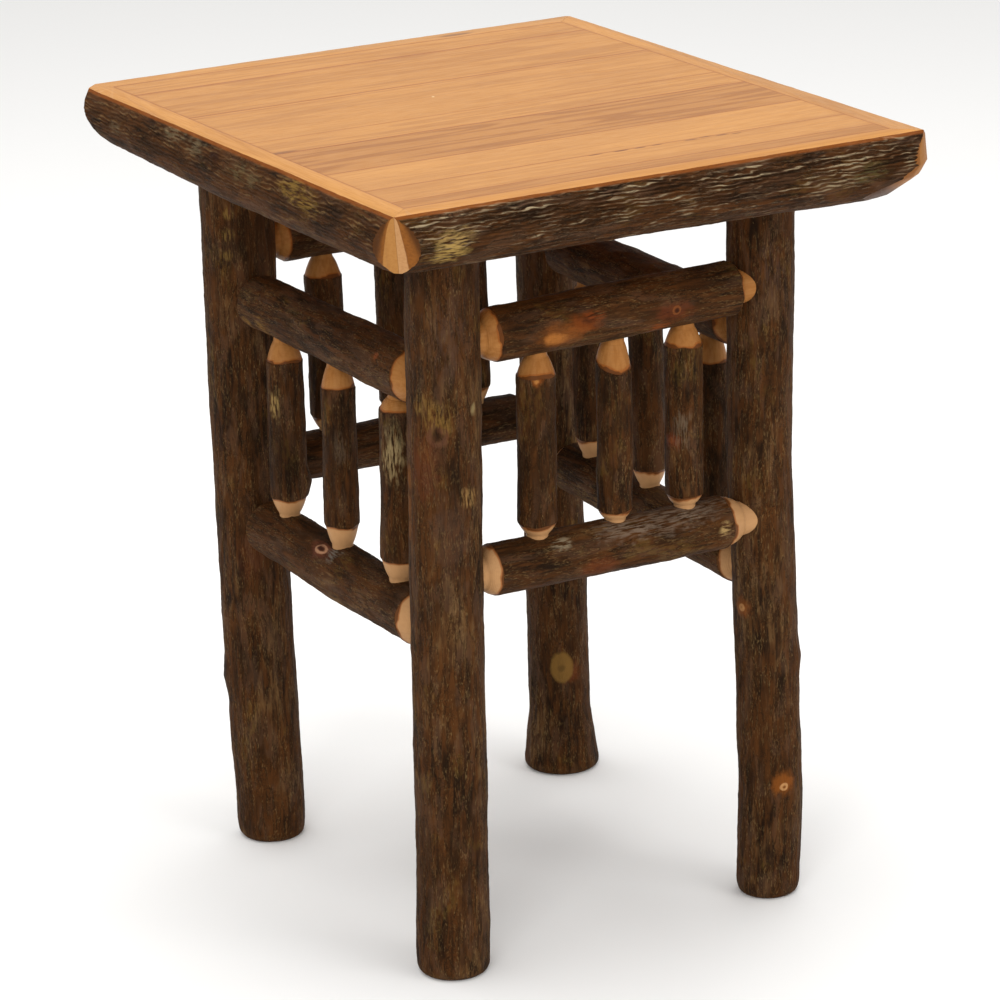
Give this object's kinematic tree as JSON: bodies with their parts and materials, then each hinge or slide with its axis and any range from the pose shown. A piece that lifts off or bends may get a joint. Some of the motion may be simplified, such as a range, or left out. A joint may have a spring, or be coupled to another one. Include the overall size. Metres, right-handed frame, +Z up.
{
  "type": "rustic side table",
  "caption": "Square side table of bark-on logs with pencil-pointed rails, short spindles on each side and a planked top framed by mitred half logs.",
  "frame": {"origin": "middle of the floor face, under the middle of the top", "axes": "+Z up, +X to the right along the front, front faces -Y"},
  "size_m": [0.4602, 0.5267, 0.61],
  "materials": {
    "hickory_log": "rough bark with pale turned points",
    "planed_hickory": "satin clear lacquer",
    "rough_hickory": "sawn, unfinished",
    "zinc_steel": "zinc plated"
  },
  "bodies": {
    "root": {"leg_front_left": "hickory_log", "leg_front_right": "hickory_log", "leg_back_left": "hickory_log", "leg_back_right": "hickory_log", "front_upper_rail": "hickory_log", "front_lower_rail": "hickory_log", "back_upper_rail": "hickory_log", "back_lower_rail": "hickory_log", "left_upper_rail": "hickory_log", "left_lower_rail": "hickory_log", "right_upper_rail": "hickory_log", "right_lower_rail": "hickory_log", "front_spindle_1": "hickory_log", "front_spindle_2": "hickory_log", "front_spindle_3": "hickory_log", "back_spindle_1": "hickory_log", "back_spindle_2": "hickory_log", "back_spindle_3": "hickory_log", "left_spindle_1": "hickory_log", "left_spindle_2": "hickory_log", "left_spindle_3": "hickory_log", "right_spindle_1": "hickory_log", "right_spindle_2": "hickory_log", "right_spindle_3": "hickory_log", "front_edge_log": "hickory_log", "back_edge_log": "hickory_log", "left_edge_log": "hickory_log", "right_edge_log": "hickory_log", "top_plank_1": "planed_hickory", "top_plank_2": "planed_hickory", "top_plank_3": "planed_hickory", "top_plank_4": "planed_hickory", "top_plank_5": "planed_hickory", "top_plank_6": "planed_hickory", "top_plank_7": "planed_hickory", "top_plank_8": "planed_hickory", "front_spline": "rough_hickory", "back_spline": "rough_hickory", "left_spline": "rough_hickory", "right_spline": "rough_hickory", "left_cleat": "rough_hickory", "right_cleat": "rough_hickory", "cleat_screws": "zinc_steel"}
  },
  "joints": []
}
